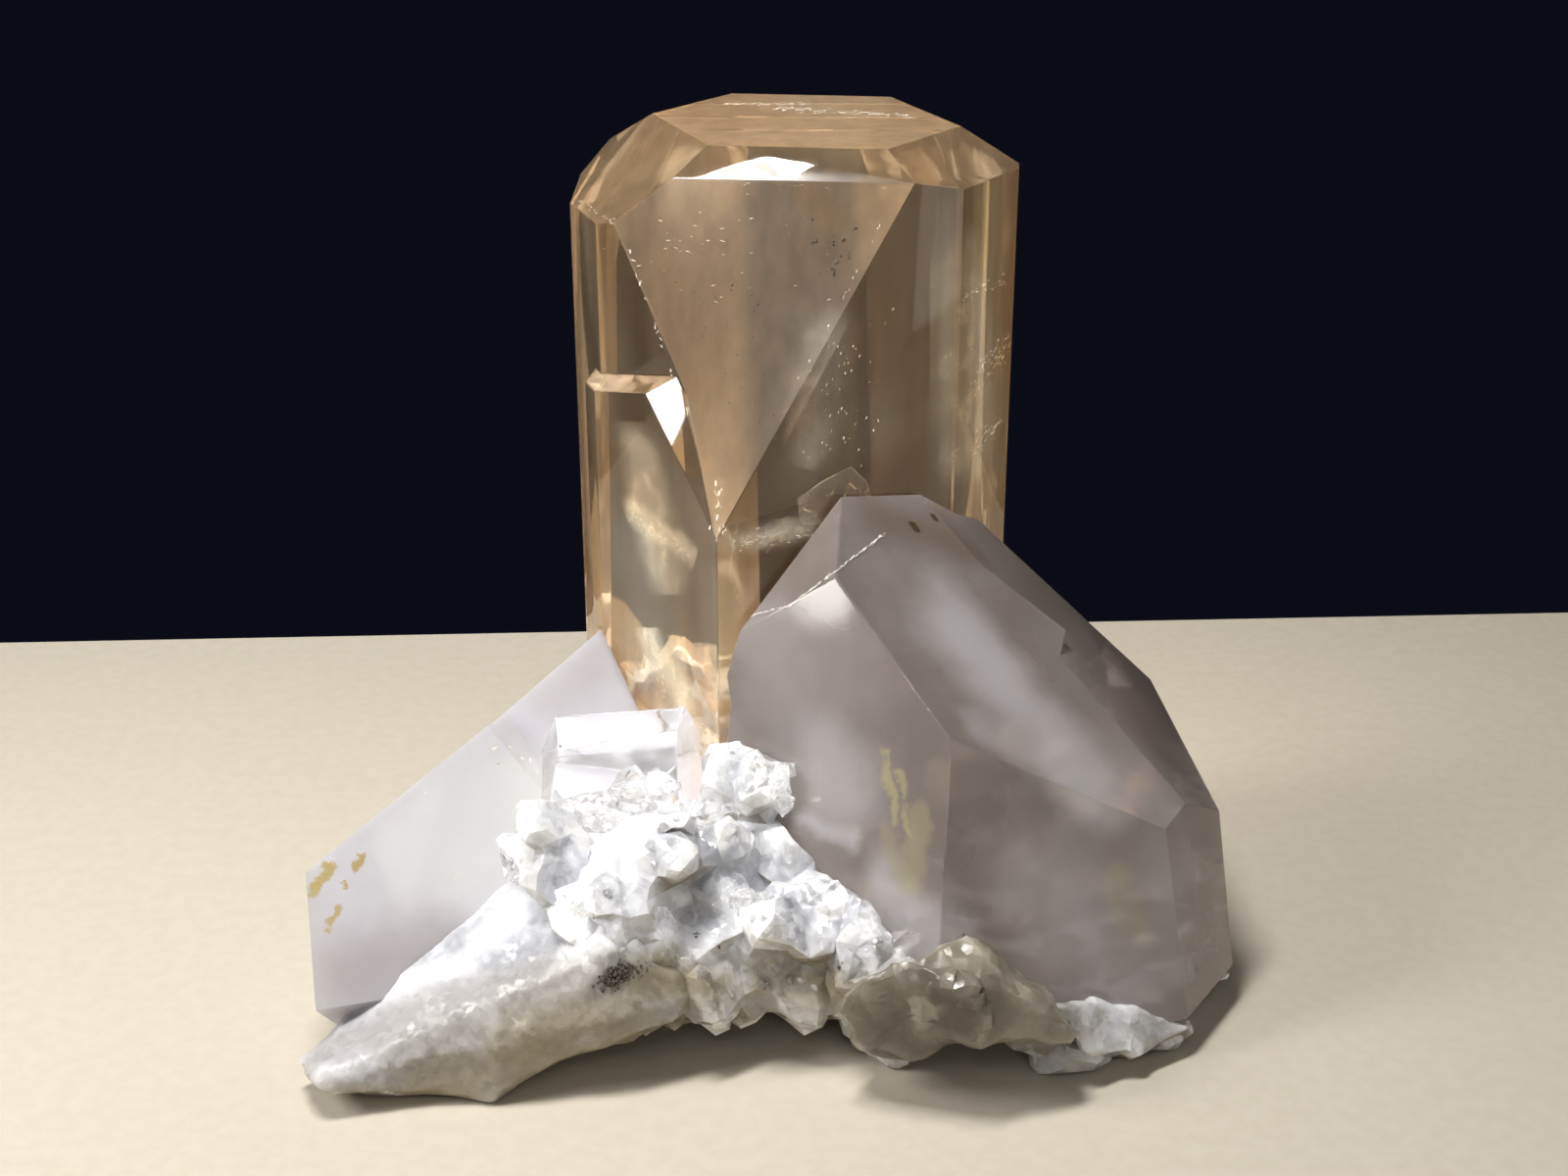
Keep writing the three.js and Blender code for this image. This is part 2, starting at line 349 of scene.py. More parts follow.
def make_grains():
    """Grains side by side, each with its own share from 0 to 1."""
    group, given, out = effect("grains", {"Position": "Vector", "Scale": "Float"}, {"Share": "Float"})
    cells = put(group, "TexVoronoi", {
        "Vector": given["Position"], "Scale": given["Scale"], "Randomness": 1,
    })
    parts = put(group, "SeparateColor", {0: cells.outputs["Color"]})
    group.links.new(parts.outputs[0], out["Share"])
    return group


def make_glints():
    """Tiny broken facets: each cell of the surface leans its own way, where the share is high."""
    group, given, out = effect(
        "glints",
        {"Position": "Vector", "Scale": "Float", "Lean": "Float", "Share": "Float", "Normal": "Vector"},
        {"Normal": "Vector"},
    )
    cells = put(group, "TexVoronoi", {
        "Vector": given["Position"], "Scale": given["Scale"], "Randomness": 1,
    })
    lean = put(group, "VectorMath", {0: cells.outputs["Color"], 1: (0.5, 0.5, 0.5)}, operation="SUBTRACT")
    amount = sums(group, "MULTIPLY", given["Lean"], given["Share"])
    push = put(group, "VectorMath", {0: lean.outputs[0], "Scale": amount}, operation="SCALE")
    turned = put(group, "VectorMath", {0: given["Normal"], 1: push.outputs[0]}, operation="ADD")
    unit = put(group, "VectorMath", {0: turned.outputs[0]}, operation="NORMALIZE")
    group.links.new(unit.outputs[0], out["Normal"])
    return group


EFFECTS = {
    "cloud": make_cloud(),
    "ragged": make_ragged(),
    "patch": make_patch(),
    "facing": make_facing(),
    "lines": make_lines(),
    "specks": make_specks(),
    "grains": make_grains(),
    "glints": make_glints(),
}


def use(tree, name, inputs):
    """Places one of the effects in a material."""
    return put(tree, "Group", inputs, node_tree=EFFECTS[name]).outputs[0]


def new_finish(name):
    material = bpy.data.materials.new(name)
    material.use_nodes = True
    tree = material.node_tree
    shader = tree.nodes["Principled BSDF"]
    position = put(tree, "TexCoord").outputs["Object"]
    return material, tree, shader, position


def set_plain(shader, **values):
    for name, value in values.items():
        shader.inputs[name.replace("_", " ")].default_value = value


def fill_with_absorption(tree, colour, density):
    body = put(tree, "VolumeAbsorption", {"Color": colour, "Density": density})
    tree.links.new(body.outputs[0], tree.nodes["Material Output"].inputs["Volume"])


def make_translucent(shader, weight, reach):
    """Lets light spread inside a cloudy piece, as far as its reach in mm."""
    set_plain(shader, Subsurface_Weight=weight, Subsurface_Scale=reach * MM)
    shader.inputs["Subsurface Radius"].default_value = (1, 1, 1)


def add_bump(tree, shader, height, strength, distance):
    bump = put(tree, "Bump", {"Height": height, "Strength": strength, "Distance": distance * MM})
    tree.links.new(bump.outputs[0], shader.inputs["Normal"])
    return bump.outputs[0]


def add_glints(tree, shader, position, normal, scale, lean, share):
    turned = use(tree, "glints", {
        "Position": position, "Scale": scale, "Lean": lean, "Share": share, "Normal": normal,
    })
    tree.links.new(turned, shader.inputs["Normal"])


def patch_shares(tree, position, form, patches, core, ragged, scale):
    """The shares of ragged patches along lines that the photograph shows.

    The core is the share of a patch's reach that has its full strength. The edges are ragged by so
    many mm, and the larger the scale, the finer they are.
    """
    moved = use(tree, "ragged", {"Position": position, "Ragged": ragged * MM, "Scale": scale})
    shares = []
    for start, end, reach, strength in patches:
        first, _ = seen_on(form, start)
        last, _ = seen_on(form, end)
        share = use(tree, "patch", {
            "Position": moved, "Centre": (first + last) / 2, "Half Line": (last - first) / 2,
            "Reach": reach * MM, "Core": core,
        })
        shares.append(sums(tree, "MULTIPLY", share, strength))
    return shares


def add_patches(tree, position, form, colour, layers):
    """Tints a colour in layers: the patches of each, their core, raggedness and scale, and the tint."""
    for patches, core, ragged, scale, tint in layers:
        for share in patch_shares(tree, position, form, patches, core, ragged, scale):
            colour = blend_colours(tree, share, colour, (*tint, 1))
    return colour


def shade_by(tree, colour, share, low, high, darkest, lightest):
    """Darkens and lightens a colour by a share between two levels."""
    level = put(tree, "MapRange", {
        "Value": share, "From Min": low, "From Max": high, "To Min": darkest, "To Max": lightest,
    })
    grey = put(tree, "CombineColor", {part: level.outputs[0] for part in range(3)})
    return blend_colours(tree, 1, colour, grey.outputs[0], "MULTIPLY")


def set_roughness(tree, shader, position, low, high):
    """Makes a face duller in soft clouds, from one roughness to another."""
    dull = use(tree, "cloud", {"Position": position, "Scale": 120, "Detail": 0.5, "Low": 0.35, "High": 0.7})
    rough = sums(tree, "ADD", sums(tree, "MULTIPLY", dull, high - low), low)
    tree.links.new(rough, shader.inputs["Roughness"])


# How strongly the two minerals bend light
TOPAZ_IOR = 1.62
QUARTZ_IOR = 1.544


def topaz_finish(form):
    material, tree, shader, position = new_finish("champagne_topaz")
    warm = use(tree, "cloud", {"Position": position, "Scale": 70, "Detail": 4, "Low": 0.4, "High": 0.68})
    colour = blend_colours(tree, warm, (0.7, 0.56, 0.4, 1), (0.74, 0.54, 0.34, 1))
    colour = add_patches(tree, position, form, colour, [
        (TOPAZ_WARMTH, 0.1, 2, 200, (0.86, 0.52, 0.24)),
        # partly pale frost, partly painted light where light shines through the topaz
        (TOPAZ_PALE_AND_PAINTED_LIGHT, 0.1, 2, 200, (1, 0.95, 0.74)),
        # painted shade on the topaz's left side and dome face
        (TOPAZ_PAINTED_SHADE, 0.1, 2, 200, (0.4, 0.3, 0.2)),
        (TOPAZ_FROST, 0.1, 4, 300, (0.97, 0.93, 0.86)),
    ])
    streaks = use(tree, "lines", {"Position": position, "Stretch": (900, 900, 25), "Detail": 3})
    colour = shade_by(tree, colour, streaks, low=0.35, high=0.65, darkest=0.82, lightest=1.12)
    dots = use(tree, "specks", {"Position": position, "Scale": 800, "Size": 0.1})
    colour = blend_colours(tree, dots, colour, (0.12, 0.08, 0.05, 1))
    tree.links.new(colour, shader.inputs["Base Color"])

    dome = use(tree, "facing", {"Direction": DOME_LOOK, "Low": 0.95, "High": 0.97})
    top = use(tree, "facing", {"Direction": (0, 0, 1), "Low": 0.93, "High": 0.98})
    satin = sums(tree, "MULTIPLY", dome, 0.24)
    frosted = sums(tree, "MULTIPLY", top, 0.3)
    rough = sums(tree, "ADD", sums(tree, "ADD", satin, frosted), 0.04)
    for share in patch_shares(tree, position, form, TOPAZ_ETCHED, core=0.5, ragged=0.8, scale=1200):
        rough = sums(tree, "ADD", rough, share)
    tree.links.new(rough, shader.inputs["Roughness"])

    upright = use(tree, "lines", {"Position": position, "Stretch": (500, 500, 12), "Detail": 1})
    add_bump(tree, shader, upright, strength=0.06, distance=0.1)

    set_plain(shader, Transmission_Weight=0.9, IOR=TOPAZ_IOR)
    fill_with_absorption(tree, (0.82, 0.69, 0.47, 1), 22)
    return material


def smoky_finish(form):
    material, tree, shader, position = new_finish("smoky_quartz")
    haze = use(tree, "cloud", {"Position": position, "Scale": 90, "Detail": 4, "Low": 0.35, "High": 0.65})
    colour = blend_colours(tree, haze, (0.38, 0.33, 0.3, 1), (0.5, 0.45, 0.43, 1))
    colour = add_patches(tree, position, form, colour, [
        # partly whitish clouds, partly painted light on the right side and lower part
        (SMOKY_CLOUDS_AND_PAINTED_LIGHT, 0.05, 3, 200, (0.9, 0.87, 0.9)),
        # painted shade on the smoky quartz's right side and top strip
        (SMOKY_PAINTED_SHADE, 0.05, 3, 200, (0.3, 0.23, 0.17)),
        (SMOKY_STAINS, 0.2, 1.6, 700, (0.78, 0.72, 0.4)),
        (SMOKY_SPECKS, 0.6, 0.4, 1500, (0.12, 0.07, 0.03)),
    ])
    tree.links.new(colour, shader.inputs["Base Color"])
    set_roughness(tree, shader, position, low=0.1, high=0.18)
    ripple = use(tree, "lines", {"Position": position, "Stretch": (60, 60, 200), "Detail": 0.5})
    add_bump(tree, shader, ripple, strength=0.08, distance=0.3)
    set_plain(shader, Transmission_Weight=0.62, IOR=QUARTZ_IOR)
    fill_with_absorption(tree, (0.74, 0.62, 0.52, 1), 15)
    return material


def milky_finish(form):
    material, tree, shader, position = new_finish("milky_quartz")
    haze = use(tree, "cloud", {"Position": position, "Scale": 110, "Detail": 4, "Low": 0.35, "High": 0.65})
    colour = blend_colours(tree, haze, (0.74, 0.72, 0.77, 1), (0.86, 0.84, 0.9, 1))
    colour = add_patches(tree, position, form, colour, [
        # painted light on the middle of the milky quartz
        (MILKY_PAINTED_LIGHT, 0.05, 3, 200, WHITE),
        # painted shade on the milky quartz's lower and upper parts
        (MILKY_PAINTED_SHADE, 0.05, 3, 200, (0.6, 0.55, 0.54)),
        (MILKY_STAINS, 0.4, 1.6, 1100, (0.66, 0.52, 0.2)),
    ])
    tree.links.new(colour, shader.inputs["Base Color"])
    set_roughness(tree, shader, position, low=0.12, high=0.24)
    ripple = use(tree, "lines", {"Position": position, "Stretch": (80, 80, 200), "Detail": 0.5})
    add_bump(tree, shader, ripple, strength=0.08, distance=0.3)
    set_plain(shader, Transmission_Weight=0.36, IOR=QUARTZ_IOR)
    make_translucent(shader, weight=0.6, reach=3)
    return material


def frost_and_highlight_ridges(tree, colour, tint):
    """Whitens the ridges between broken faces, partly as frost and partly as a painted highlight."""
    ridge = put(tree, "MapRange", {
        "Value": put(tree, "NewGeometry").outputs["Pointiness"], "From Min": 0.5, "From Max": 0.58,
    }, interpolation_type="SMOOTHSTEP")
    return blend_colours(tree, ridge.outputs[0], colour, (*tint, 1))


def icy_finish(name, share, colour, paler, ridge, lean, soft, dull=0.06):
    """Clear to cloudy quartz whose ridges are whitened, partly as frost and partly as a painted highlight.

    It is given by its see-through share, its colours and its ridges', how far its facets lean, how
    much light spreads inside it, and how dull it is.
    """
    material, tree, shader, position = new_finish(name)
    haze = use(tree, "cloud", {"Position": position, "Scale": 300, "Detail": 4, "Low": 0.38, "High": 0.66})
    cloudy = blend_colours(tree, haze, (*colour, 1), (*paler, 1))
    # ridges whitened: partly frost, partly painted highlight
    tree.links.new(frost_and_highlight_ridges(tree, cloudy, ridge), shader.inputs["Base Color"])
    set_plain(shader, Roughness=dull)
    ripple = use(tree, "cloud", {"Position": position, "Scale": 900, "Detail": 4, "Low": 0.2, "High": 0.8})
    normal = add_bump(tree, shader, ripple, strength=0.1, distance=0.1)
    if lean:
        sugary = use(tree, "cloud", {
            "Position": position, "Scale": 260, "Detail": 4, "Low": 0.3, "High": 0.5,
        })
        add_glints(tree, shader, position, normal, scale=1700, lean=lean, share=sugary)
    set_plain(shader, Transmission_Weight=share, IOR=QUARTZ_IOR)
    make_translucent(shader, weight=soft, reach=1.5)
    return material


def matrix_finish(name, form, dull, lean):
    """White granular quartz with painted shade below and along its rim, tongue and foot, partly its own
    cream along the rim: how dull it is, how far its grains lean.
    """
    material, tree, shader, position = new_finish(name)
    haze = use(tree, "cloud", {"Position": position, "Scale": 200, "Detail": 5, "Low": 0.38, "High": 0.6})
    colour = blend_colours(tree, haze, (0.48, 0.49, 0.53, 1), (0.89, 0.9, 0.95, 1))
    # Painted shade: faces that look down and to the front are darkened to a dark cream
    below = use(tree, "facing", {"Direction": (0, -0.35, -0.94), "Low": 0.15, "High": 0.8})
    colour = blend_colours(tree, sums(tree, "MULTIPLY", below, 0.9), colour, (0.26, 0.21, 0.12, 1))
    # ridges whitened: partly frost, partly painted highlight
    colour = frost_and_highlight_ridges(tree, colour, WHITE)
    colour = add_patches(tree, position, form, colour, [
        # partly cream, partly painted shade along the rim and the tongue's lower side
        (CREAM_RIM_AND_PAINTED_SHADE, 0.1, 2.5, 300, (0.36, 0.31, 0.2)),
        # painted shade on the tongue
        (TONGUE_PAINTED_SHADE, 0.1, 2, 300, (0.46, 0.44, 0.43)),
        # painted shade along the foot
        (FOOT_PAINTED_SHADE, 0.1, 2, 300, (0.36, 0.33, 0.29)),
    ])
    grains = use(tree, "grains", {"Position": position, "Scale": 1800})
    colour = shade_by(tree, colour, grains, low=0, high=1, darkest=0.84, lightest=1)
    tree.links.new(colour, shader.inputs["Base Color"])
    set_plain(shader, Roughness=dull)
    ripple = use(tree, "cloud", {"Position": position, "Scale": 900, "Detail": 4, "Low": 0.2, "High": 0.8})
    normal = add_bump(tree, shader, ripple, strength=0.15, distance=0.15)
    add_glints(tree, shader, position, normal, scale=2200, lean=lean, share=1)
    set_plain(shader, Transmission_Weight=0.12, IOR=QUARTZ_IOR)
    make_translucent(shader, weight=0.5, reach=1)
    return material


def veil_finish(form, number, line):
    """A faint white veil inside the topaz: wisps that fade out away from a line."""
    material, tree, shader, position = new_finish(f"topaz_veil_{number}")
    share = patch_shares(tree, position, form, [line], core=0.1, ragged=1.5, scale=400)[0]
    wisps = use(tree, "cloud", {"Position": position, "Scale": 480, "Detail": 7, "Low": 0.44, "High": 0.72})
    hazy = sums(tree, "ADD", sums(tree, "MULTIPLY", wisps, 0.45), 0.3)
    tree.links.new(sums(tree, "MULTIPLY", share, hazy), shader.inputs["Alpha"])
    set_plain(shader, Base_Color=(1, 0.95, 0.84, 1), Roughness=0.4)
    return material


def plain_finish(name, colour, roughness):
    material, tree, shader, position = new_finish(name)
    tone = use(tree, "cloud", {"Position": position, "Scale": 400, "Detail": 4, "Low": 0.3, "High": 0.7})
    darker = [0.8 * part for part in colour]
    tree.links.new(blend_colours(tree, tone, (*darker, 1), (*colour, 1)), shader.inputs["Base Color"])
    set_plain(shader, Roughness=roughness)
    return material


# Places that the photograph shows, in its pixels

# Marks: the pixels where each starts and ends, its reach in mm and its strength
TOPAZ_WARMTH = [
    ((696, 448), (708, 476), 1.6, 0.8),
    ((818, 190), (846, 226), 1.4, 0.6),
    ((690, 640), (700, 730), 2.2, 0.5),
]
# Partly pale frosted zones of the topaz, partly painted light where light shines through it
TOPAZ_PALE_AND_PAINTED_LIGHT = [
    ((962, 220), (962, 500), 1.8, 0.9),
    ((1010, 200), (1005, 490), 2.4, 0.7),
    ((810, 480), (900, 420), 3, 0.7),
    ((650, 560), (690, 700), 3.4, 0.9),
    ((738, 600), (738, 700), 2.4, 0.8),
]
# Painted shade: dark patches on the topaz's left side and on the left of its dome face
TOPAZ_PAINTED_SHADE = [
    ((592, 240), (600, 460), 2, 0.9),
    ((630, 260), (650, 420), 3, 0.9),
    ((670, 222), (735, 450), 5, 0.6),
]
TOPAZ_FROST = [
    ((1000, 300), (1015, 480), 2.4, 0.7),
    ((640, 560), (660, 690), 3, 0.6),
    ((745, 545), (830, 540), 1.5, 0.8),
    ((850, 330), (830, 470), 2.4, 0.4),
]
TOPAZ_ETCHED = [((738, 174), (752, 172), 0.35, 0.35), ((776, 170), (790, 176), 0.4, 0.35)]
# Partly the smoky quartz's own whitish clouds, partly painted light that lightens its right side and lower
# part
SMOKY_CLOUDS_AND_PAINTED_LIGHT = [
    ((975, 640), (1110, 790), 4.4, 0.9),
    ((960, 600), (1020, 690), 2.6, 0.5),
    ((1130, 830), (1000, 740), 2.2, 0.5),
    ((840, 760), (870, 820), 3, 0.6),
    ((770, 640), (860, 800), 4, 0.3),
    ((1060, 900), (1150, 1010), 5, 0.5),
    ((1170, 780), (1200, 940), 4, 0.35),
    ((900, 900), (965, 960), 2.6, 0.9),
    ((826, 834), (866, 856), 1.2, 0.9),
]
# Painted shade on the smoky quartz's right side and along a strip at its top
SMOKY_PAINTED_SHADE = [
    ((1065, 610), (1200, 800), 4, 0.25),
    ((900, 530), (990, 560), 3, 0.7),
]
SMOKY_STAINS = [
    ((903, 770), (914, 836), 0.5, 0.8),
    ((918, 785), (928, 850), 0.4, 0.7),
    ((940, 830), (932, 900), 1.1, 0.45),
    ((905, 850), (925, 905), 0.9, 0.35),
    ((1140, 900), (1160, 950), 1.6, 0.3),
]
SMOKY_SPECKS = [((931, 535), (935, 540), 0.35, 0.9), ((952, 526), (955, 530), 0.25, 0.9)]
# Painted shade on the lower and upper parts of the milky quartz
MILKY_PAINTED_SHADE = [((350, 1000), (440, 960), 4, 0.7), ((560, 710), (600, 680), 3, 0.4)]
# Painted light: a white patch that lightens the middle of the milky quartz where the key lamp falls
MILKY_PAINTED_LIGHT = [((440, 880), (540, 820), 7, 1)]
MILKY_STAINS = [
    ((334, 886), (322, 904), 0.5, 0.9),
    ((322, 906), (318, 914), 0.55, 0.9),
    ((368, 876), (364, 884), 0.35, 0.9),
    ((343, 926), (332, 948), 0.4, 0.8),
    ((350, 900), (352, 903), 0.2, 0.9),
]
# Partly the rim's own cream, partly painted shade: a dark cream along the rim and the tongue's lower side,
# which face down
CREAM_RIM_AND_PAINTED_SHADE = [((660, 1000), (860, 1010), 3, 0.9), ((450, 1090), (610, 1030), 5.5, 0.9)]
# Painted shade: grey along the broken foot at the bottom, under the rim
FOOT_PAINTED_SHADE = [((930, 1000), (1070, 1050), 4, 0.9), ((1100, 1050), (1170, 1055), 3, 0.5)]
# Painted shade: greys the tongue's ridge and lower side, which are turned away from the light
TONGUE_PAINTED_SHADE = [
    ((330, 1070), (480, 1040), 3.6, 0.85),
    ((480, 1030), (620, 990), 2.6, 0.7),
    ((400, 1032), (530, 984), 2, 0.55),
]

# Lumps: the pixel where each shows, its half sizes in mm, and how far it sinks in in mm
LUMPS = [
    ((662, 897), (4.9, 3.4, 3.9), 2.3),
    ((835, 935), (4.4, 2.8, 2.8), 1.7),
    ((750, 785), (2.2, 1.8, 2.9), 0.8),
    ((785, 800), (1.5, 1.5, 2.3), 0.5),
    ((720, 850), (2.4, 2.0, 3.0), 1.2),
    ((545, 880), (2.6, 2.0, 2.4), 1.7),
    ((700, 935), (2.4, 1.8, 1.8), 0.9),
    ((600, 930), (2.4, 1.8, 1.8), 0.9),
    ((765, 925), (2.2, 1.8, 1.8), 0.9),
    ((700, 985), (2.2, 1.5, 1.6), 0.9),
    ((905, 962), (2.2, 1.5, 1.4), 0.7),
]
# A lump's crystals: how many there are, the corners of each, how far they lie apart and how far they
# reach as shares of the lump's half sizes, and how round a corner is in mm
LUMP_CRYSTALS = 7
CRYSTAL_CORNERS = 12
CRYSTAL_SHIFT = 0.55
CRYSTAL_REACH = 0.55
CORNER_ROUND = 0.03
# Broken pieces below: the pixel of each corner, how far it lies from the camera and how round it is, in mm
HANGING_LUMP = [
    ((860, 1030), 126.7, 0.3),
    ((880, 1000), 125.1, 0.3),
    ((925, 985), 124.6, 0.3),
    ((985, 1005), 124.4, 0.3),
    ((1000, 1040), 125.4, 0.3),
    ((962, 1056), 126.1, 0.3),
    ((945, 1078), 127.9, 0.3),
    ((900, 1076), 128.6, 0.3),
    ((875, 1060), 128.7, 0.3),
    ((930, 1030), 134, 1),
]
FOOT_WEDGE = [
    ((930, 985), 125.2, 0.3),
    ((986, 955), 125.4, 0.3),
    ((1030, 1010), 125.4, 0.3),
    ((1092, 1056), 128.6, 0.3),
    ((1045, 1056), 127.1, 0.3),
    ((965, 1052), 127.1, 0.3),
    ((960, 1020), 131, 0.6),
    ((1080, 1050), 134, 0.6),
    ((1010, 985), 131, 0.6),
]
RIGHT_FOOT = [
    ((1075, 1030), 129.6, 0.2),
    ((1122, 1022), 131.2, 0.2),
    ((1212, 1046), 134.8, 0.2),
    ((1190, 1058), 134.2, 0.2),
    ((1165, 1070), 133.2, 0.2),
    ((1140, 1066), 132.4, 0.2),
    ((1107, 1072), 131, 0.2),
    ((1110, 1040), 136, 0.5),
    ((1200, 1046), 139, 0.5),
]
# The glassy dome below the topaz, given like the lumps
GLASSY_DOME = ((626, 815), (3.9, 1.6, 2.5), 0.9)

# The smooth tongue of the matrix: the pixels of its ridge and lower edge, how far behind the surface
# each place lies in mm, and how round it is there in mm
TONGUE = [
    ((309, 1082), 0.3, 0.3),
    ((330, 1100), 0.3, 0.3),
    ((452, 1016), 0.6, 0.4),
    ((560, 985), 0.8, 0.6),
    ((640, 960), 0.5, 0.8),
    ((395, 1104), 0.4, 0.4),
    ((500, 1104), 0.6, 0.6),
    ((575, 1066), 1.0, 1.0),
    ((640, 1035), 1.0, 1.4),
    ((700, 1012), 0.9, 1.0),
    ((690, 978), 0.7, 0.8),
    ((530, 905), 3.0, 0.6),
    ((560, 900), 4.0, 1.0),
    ((470, 1030), 7.0, 1.0),
    ((590, 990), 8.0, 1.5),
]
# The planes along which the tongue grows out of the rest of the matrix: a place in mm and a direction
TONGUE_ENDS = [
    ((-11.9, -22.5, 8.6), (-0.78, -0.24, -0.57)),
    ((-8.5, -23.5, 6), (-0.5, -0.75, -0.43)),
]

# Bright flakes, partly white inclusions and partly painted sparkle and painted highlights along edges: the
# pixels between which they lie, how far they spread in pixels, how far behind the face they lie in mm, how
# many there are, and their sizes in mm
TOPAZ_FLAKES_AND_HIGHLIGHTS = [
    ((980, 300), (1030, 286), 3, (0.1, 0.6), 40, (0.03, 0.08)),
    ((990, 400), (1028, 345), 5, (0.1, 0.6), 70, (0.03, 0.08)),
    ((985, 460), (1022, 430), 4, (0.1, 0.6), 50, (0.03, 0.08)),
    ((870, 330), (850, 470), 18, (0.1, 1.0), 50, (0.03, 0.06)),
    ((660, 250), (830, 260), 30, (-0.03, 0), 40, (0.03, 0.08)),
    ((642, 522), (703, 564), 3, (0.2, 0.8), 60, (0.03, 0.08)),
    ((748, 555), (828, 540), 4, (0.1, 0.8), 70, (0.03, 0.08)),
    ((735, 490), (735, 545), 5, (-0.03, 0.3), 30, (0.04, 0.1)),
    ((634, 236), (704, 430), 1, (-0.02, 0.02), 30, (0.03, 0.07)),
    ((915, 200), (782, 450), 1, (-0.02, 0.02), 16, (0.03, 0.06)),
    ((690, 184), (915, 194), 1, (-0.02, 0.02), 16, (0.03, 0.06)),
    ((590, 204), (628, 230), 1, (-0.02, 0.02), 16, (0.03, 0.06)),
    ((790, 110), (930, 119), 1.5, (-0.02, 0), 90, (0.04, 0.1)),
    ((740, 106), (830, 107), 1, (-0.02, 0), 40, (0.04, 0.1)),
    ((660, 655), (700, 720), 10, (0.1, 1.0), 50, (0.03, 0.09)),
]
# Painted highlights: bright flakes along the smoky quartz's edge where it meets the topaz
SMOKY_EDGE_HIGHLIGHTS = [
    ((752, 632), (806, 618), 0.5, (-0.03, 0.02), 60, (0.03, 0.06)),
    ((806, 618), (902, 545), 0.5, (-0.03, 0.02), 110, (0.03, 0.06)),
]
# Veils inside the topaz: the pixels around each, and the mark that it fades away from
TOPAZ_VEILS = [
    ([(948, 200), (1020, 215), (1016, 490), (946, 496)], ((980, 290), (990, 450), 4.2, 0.6)),
    ([(622, 430), (668, 430), (708, 540), (704, 606), (640, 606)], ((650, 460), (676, 580), 3, 0.45)),
    ([(628, 500), (668, 500), (716, 556), (704, 596), (640, 560)], ((645, 522), (703, 566), 1.3, 0.9)),
    ([(742, 540), (838, 518), (842, 556), (748, 584)], ((750, 558), (828, 540), 1.2, 0.9)),
    ([(640, 640), (716, 640), (712, 730), (652, 716)], ((662, 655), (698, 712), 2, 0.8)),
    ([(800, 300), (880, 300), (870, 490), (790, 470)], ((850, 350), (830, 450), 2.8, 0.3)),
]
# Partly the milky quartz's own white specks, partly painted sparkle and a painted highlight along its edge
MILKY_FLAKES_AND_HIGHLIGHTS = [
    ((500, 762), (540, 785), 7, (0, 0.5), 70, (0.05, 0.3)),
    ((320, 890), (500, 765), 1.5, (-0.02, 0.05), 30, (0.03, 0.1)),
    ((440, 940), (490, 900), 12, (0, 0.4), 40, (0.04, 0.15)),
]
# Dark mineral grains in the matrix and dark dots on the topaz, given like the flakes
DARK_MINERAL = [
    ((616, 1002), (632, 996), 4, (-0.25, 0.1), 170, (0.05, 0.2)),
    ((628, 992), (642, 986), 5, (-0.15, 0.1), 110, (0.04, 0.16)),
    ((645, 990), (668, 984), 4, (-0.05, 0.1), 60, (0.03, 0.1)),
    ((620, 1010), (640, 1004), 5, (-0.05, 0.1), 30, (0.03, 0.1)),
    ((711, 953), (713, 957), 1, (-0.1, 0.1), 5, (0.08, 0.2)),
    ((732, 962), (734, 970), 1, (-0.1, 0.1), 5, (0.06, 0.16)),
    ((855, 988), (862, 980), 1, (-0.1, 0.1), 6, (0.06, 0.16)),
]
TOPAZ_DOTS = [
    ((815, 236), (880, 250), 8, (-0.02, 0), 14, (0.08, 0.2)),
    ((850, 262), (856, 276), 4, (-0.02, 0), 5, (0.1, 0.3)),
    ((700, 240), (780, 420), 30, (-0.02, 0), 30, (0.05, 0.1)),
]
# A healed crack in the topaz and a sliver in the seam below it: the pixels around each
HEALED_CRACK = [(812, 508), (838, 490), (866, 476), (882, 492), (888, 514), (850, 534), (815, 532)]
SEAM_SLIVER = [(733, 655), (727, 690), (730, 730), (739, 735), (741, 700)]

# The matrix holds loose grains from this height in mm.
GRAINS_FROM = 3

# Growth steps of the topaz's top: the share from front to back where each crosses it and its slant, and
# the strips that lie lower, with how far in mm
TERRACE_LINES = [(0.2, 0.02), (0.32, 0.03), (0.4, 0.01), (0.55, 0.03), (0.63, 0.0), (0.8, 0.02)]
TERRACE_DROPS = [(1, 0.04), (3, 0.05), (5, 0.03)]
# The top's faces look up by this share or more, and lie within this many mm of the highest corner.
TOP_LOOK = 0.99
TOP_GAP = 0.03
# Faces whose middles differ by less than this in mm are one strip.
STRIP_GAP = 0.01

# The topaz's dome face looks to the front and up.
DOME_LOOK = Vector((-0.103, -0.88, 0.464)).normalized()

# White for the quartz's frost and the painted highlight on its ridges, and for painted light on the milky
# quartz; tan for frost and painted highlight on the ridges of the pieces below
WHITE = (1, 1, 1)
TAN = (0.62, 0.56, 0.45)


# Shared shapes

def any_direction(chance):
    up = chance.uniform(-1, 1)
    turn = chance.uniform(0, 2 * math.pi)
    flat = math.sqrt(1 - up * up)
    return Vector((flat * math.cos(turn), flat * math.sin(turn), up))


def any_turn(chance):
    return Euler([chance.uniform(0, 2 * math.pi) for _ in range(3)]).to_matrix().to_4x4()


